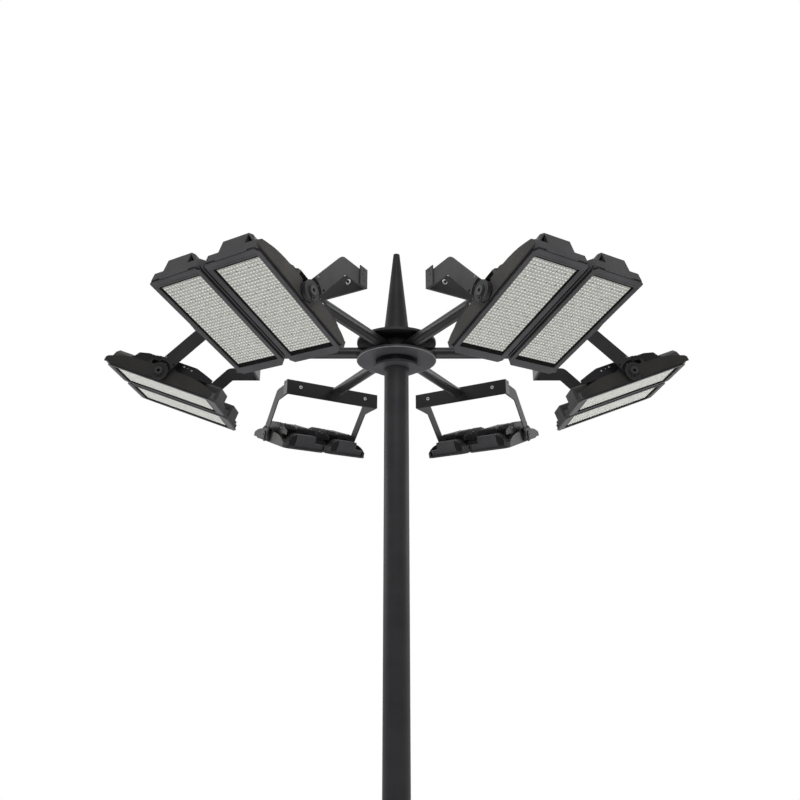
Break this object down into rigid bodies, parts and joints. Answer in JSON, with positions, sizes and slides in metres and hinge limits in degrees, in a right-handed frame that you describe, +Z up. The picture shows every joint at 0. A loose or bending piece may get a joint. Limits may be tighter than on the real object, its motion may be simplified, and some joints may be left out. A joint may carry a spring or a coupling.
{
  "type": "high mast floodlight tower",
  "caption": "Tall stepped tubular mast with a disc hub, level radial arms and tilting rectangular LED floodlights on bent yokes, topped by a tapered spike.",
  "frame": {"origin": "centre of the base flange's underside", "axes": "+Z up along the mast; +X along the arm of floodlight 1"},
  "size_m": [3.59, 3.4347, 12.737],
  "materials": {
    "mast_paint": "dark charcoal powder coat, satin",
    "hub_paint": "dark charcoal powder coat, satin",
    "arm_paint": "dark charcoal powder coat, satin",
    "yoke_paint": "dark charcoal powder coat, satin",
    "housing_coat": "die-cast aluminium, dark grey powder coat",
    "sink_coat": "die-cast aluminium, dark grey powder coat",
    "lens": "moulded clear lens array over pale LED boards",
    "bracket_coat": "dark charcoal powder coat, satin"
  },
  "bodies": {
    "mast": {"base_flange": "mast_paint", "mast_lower_section": "mast_paint", "mast_middle_section": "mast_paint", "mast_upper_section": "mast_paint", "door_cover": "mast_paint", "hub_collar": "hub_paint", "lower_disc": "hub_paint", "hub_drum": "hub_paint", "upper_disc": "hub_paint", "spike": "mast_paint", "arm_1": "arm_paint", "yoke_1": "yoke_paint", "arm_2": "arm_paint", "yoke_2": "yoke_paint", "arm_3": "arm_paint", "yoke_3": "yoke_paint", "arm_4": "arm_paint", "yoke_4": "yoke_paint", "arm_5": "arm_paint", "yoke_5": "yoke_paint", "arm_6": "arm_paint", "yoke_6": "yoke_paint"},
    "floodlight_1": {"floodlight_1_housings": "housing_coat", "floodlight_1_heat_sinks": "sink_coat", "floodlight_1_lens_panels": "lens", "floodlight_1_side_brackets": "bracket_coat"},
    "floodlight_2": {"floodlight_2_housings": "housing_coat", "floodlight_2_heat_sinks": "sink_coat", "floodlight_2_lens_panels": "lens", "floodlight_2_side_brackets": "bracket_coat"},
    "floodlight_3": {"floodlight_3_housings": "housing_coat", "floodlight_3_heat_sinks": "sink_coat", "floodlight_3_lens_panels": "lens", "floodlight_3_side_brackets": "bracket_coat"},
    "floodlight_4": {"floodlight_4_housings": "housing_coat", "floodlight_4_heat_sinks": "sink_coat", "floodlight_4_lens_panels": "lens", "floodlight_4_side_brackets": "bracket_coat"},
    "floodlight_5": {"floodlight_5_housings": "housing_coat", "floodlight_5_heat_sinks": "sink_coat", "floodlight_5_lens_panels": "lens", "floodlight_5_side_brackets": "bracket_coat"},
    "floodlight_6": {"floodlight_6_housings": "housing_coat", "floodlight_6_heat_sinks": "sink_coat", "floodlight_6_lens_panels": "lens", "floodlight_6_side_brackets": "bracket_coat"}
  },
  "joints": [
    {"name": "tilt_1", "type": "hinge", "parent": "mast", "child": "floodlight_1", "pos_m": [1.44, 0, 11.734], "axis": [0, -1, 0], "range_deg": [-30, 80]},
    {"name": "tilt_2", "type": "hinge", "parent": "mast", "child": "floodlight_2", "pos_m": [0.72, 1.24708, 11.734], "axis": [0.866, -0.5, 0], "range_deg": [-30, 80]},
    {"name": "tilt_3", "type": "hinge", "parent": "mast", "child": "floodlight_3", "pos_m": [-0.72, 1.24708, 11.734], "axis": [0.866, 0.5, 0], "range_deg": [-30, 80]},
    {"name": "tilt_4", "type": "hinge", "parent": "mast", "child": "floodlight_4", "pos_m": [-1.44, 0, 11.734], "axis": [0, 1, 0], "range_deg": [-30, 80]},
    {"name": "tilt_5", "type": "hinge", "parent": "mast", "child": "floodlight_5", "pos_m": [-0.72, -1.24708, 11.734], "axis": [-0.866, 0.5, 0], "range_deg": [-30, 80]},
    {"name": "tilt_6", "type": "hinge", "parent": "mast", "child": "floodlight_6", "pos_m": [0.72, -1.24708, 11.734], "axis": [-0.866, -0.5, 0], "range_deg": [-30, 80]}
  ]
}
